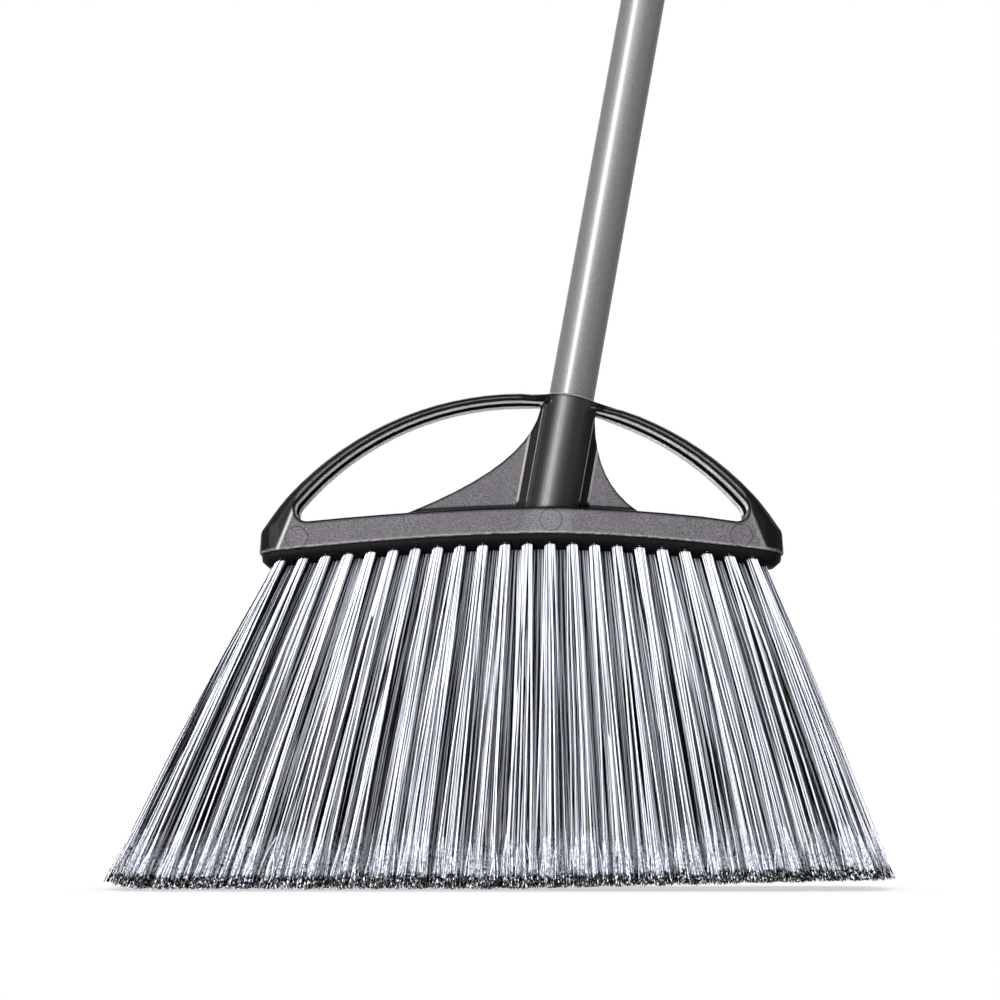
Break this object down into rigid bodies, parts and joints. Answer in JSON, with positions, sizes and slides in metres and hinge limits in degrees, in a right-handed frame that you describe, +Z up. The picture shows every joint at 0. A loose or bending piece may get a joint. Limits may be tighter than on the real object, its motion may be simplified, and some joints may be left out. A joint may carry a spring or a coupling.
{
  "type": "angle broom",
  "caption": "Upright broom with a moulded arch head, a wide fan of stapled bristle tufts and a leaning steel handle that screws into the head's socket.",
  "frame": {"origin": "on the floor that the bristles stand on, below the middle of the whole broom's bounding box", "axes": "+X along the brush bar towards the side the handle leans to, +Y from the pictured front to the back, +Z up"},
  "size_m": [0.4382, 0.0416, 1.3847],
  "materials": {
    "head_plastic": "satin",
    "bristle": "satin",
    "silver_paint": "satin",
    "black_plastic": "matte"
  },
  "bodies": {
    "head": {"broom_head": "head_plastic", "tuft_slice_01": "bristle", "tuft_slice_02": "bristle", "tuft_slice_03": "bristle", "tuft_slice_04": "bristle", "tuft_slice_05": "bristle", "tuft_slice_06": "bristle", "tuft_slice_07": "bristle", "tuft_slice_08": "bristle", "tuft_slice_09": "bristle", "tuft_slice_10": "bristle", "tuft_slice_11": "bristle", "tuft_slice_12": "bristle", "tuft_slice_13": "bristle", "tuft_slice_14": "bristle", "tuft_slice_15": "bristle", "tuft_slice_16": "bristle", "tuft_slice_17": "bristle", "tuft_slice_18": "bristle", "tuft_slice_19": "bristle", "tuft_slice_20": "bristle", "tuft_slice_21": "bristle", "tuft_slice_22": "bristle", "tuft_slice_23": "bristle"},
    "screw": {"threaded_tip": "black_plastic"},
    "handle": {"handle_tube": "silver_paint", "hang_cap": "black_plastic"}
  },
  "joints": [
    {"name": "handle_rise", "type": "slide", "parent": "head", "child": "screw", "axis": [0.1788, 0, 0.9839], "range_m": [0, 0.0254]},
    {"name": "handle_turn", "type": "hinge", "parent": "screw", "child": "handle", "pos_m": [-0.00438, 0, 0.20492], "axis": [0.1788, 0, 0.9839], "range_deg": [0, 1800]}
  ],
  "couplings": [
    {"joint": "handle_turn", "follows": "handle_rise", "rad_per_m": 1236.8}
  ]
}
